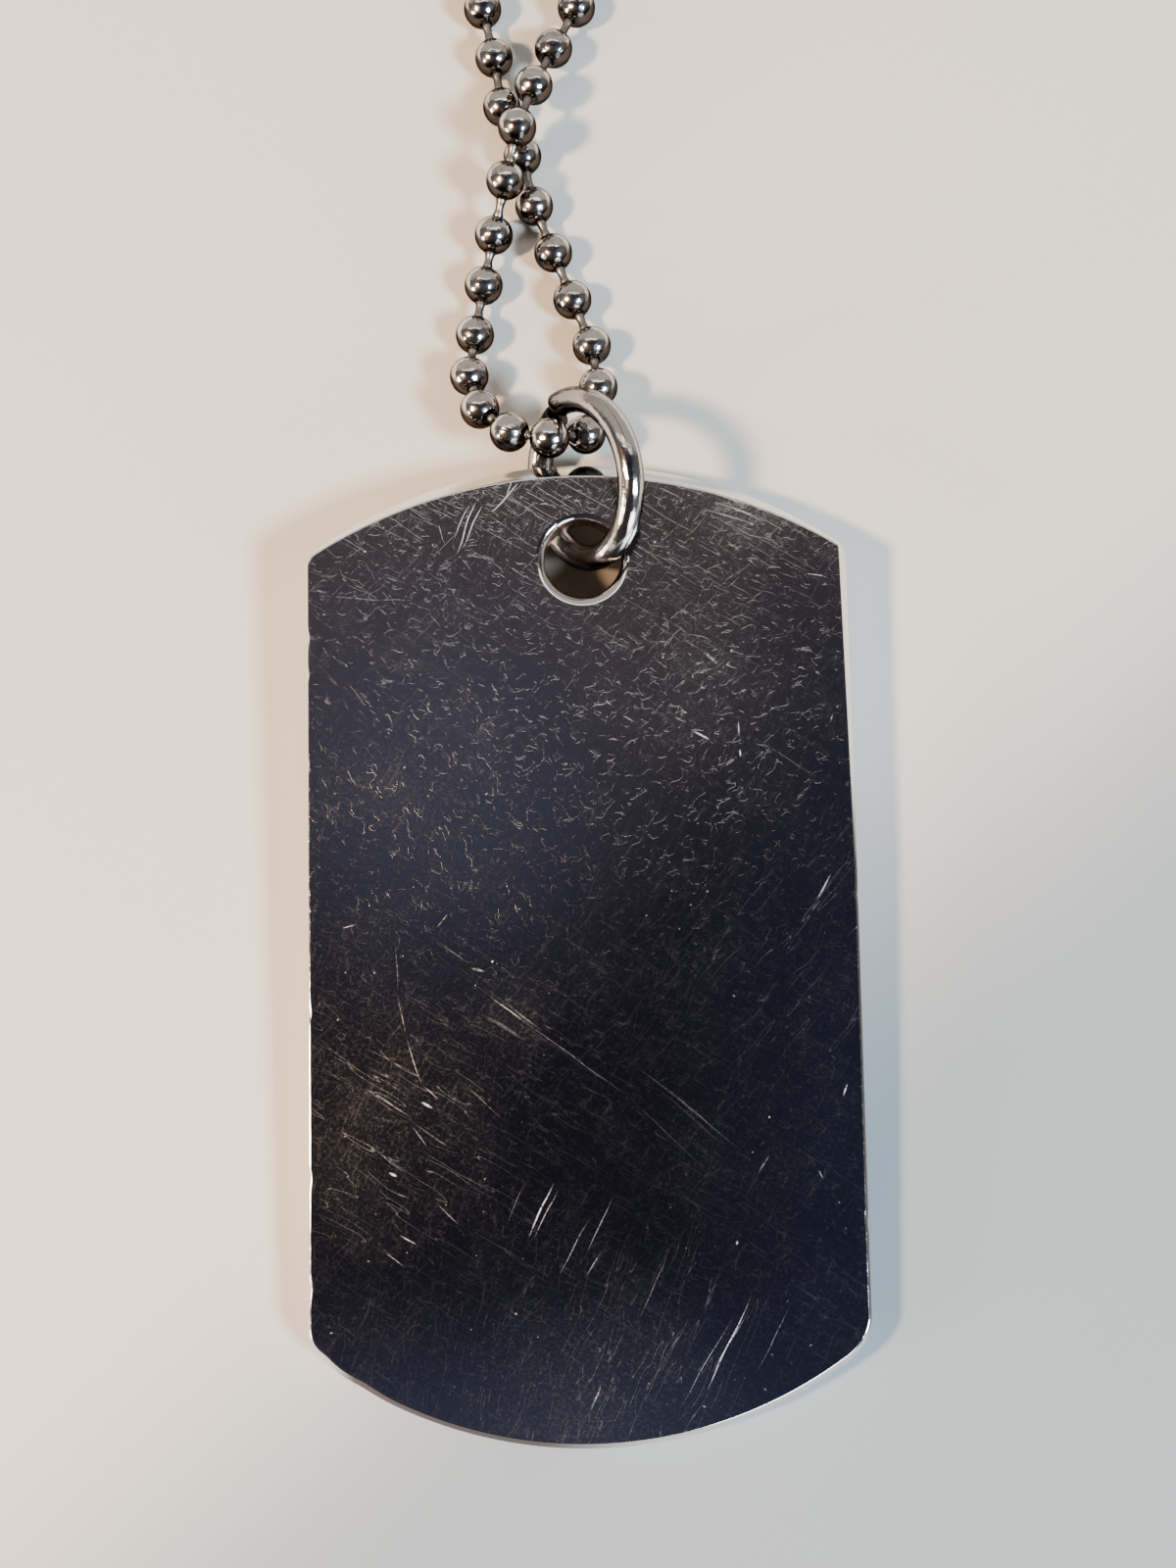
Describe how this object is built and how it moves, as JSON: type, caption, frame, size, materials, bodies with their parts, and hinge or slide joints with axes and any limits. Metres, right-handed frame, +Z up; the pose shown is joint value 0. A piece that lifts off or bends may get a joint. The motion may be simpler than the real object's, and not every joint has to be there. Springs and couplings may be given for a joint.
{
  "type": "identification dog tag",
  "caption": "Blank rounded-corner metal dog tag with a jump ring through its hole and a closed ball chain necklace, lying flat",
  "frame": {"origin": "middle of the whole object's footprint, on the surface it lies on", "axes": "+Z up from the surface; +Y along the tag from its plain end to its holed end and on into the chain; +X to the right when looking down with +Y ahead"},
  "size_m": [0.1196, 0.2514, 0.0081],
  "materials": {
    "tag_silver": "polished silver with fine wear scratches",
    "ring_silver": "bright polished silver",
    "bead_silver": "polished silver, slightly worn",
    "thread_silver": "drawn silver wire",
    "clasp_silver": "polished silver"
  },
  "bodies": {
    "root": {"tag_plate": "tag_silver", "jump_ring": "ring_silver", "chain_beads": "bead_silver", "chain_thread": "thread_silver", "chain_clasp": "clasp_silver"}
  },
  "joints": []
}
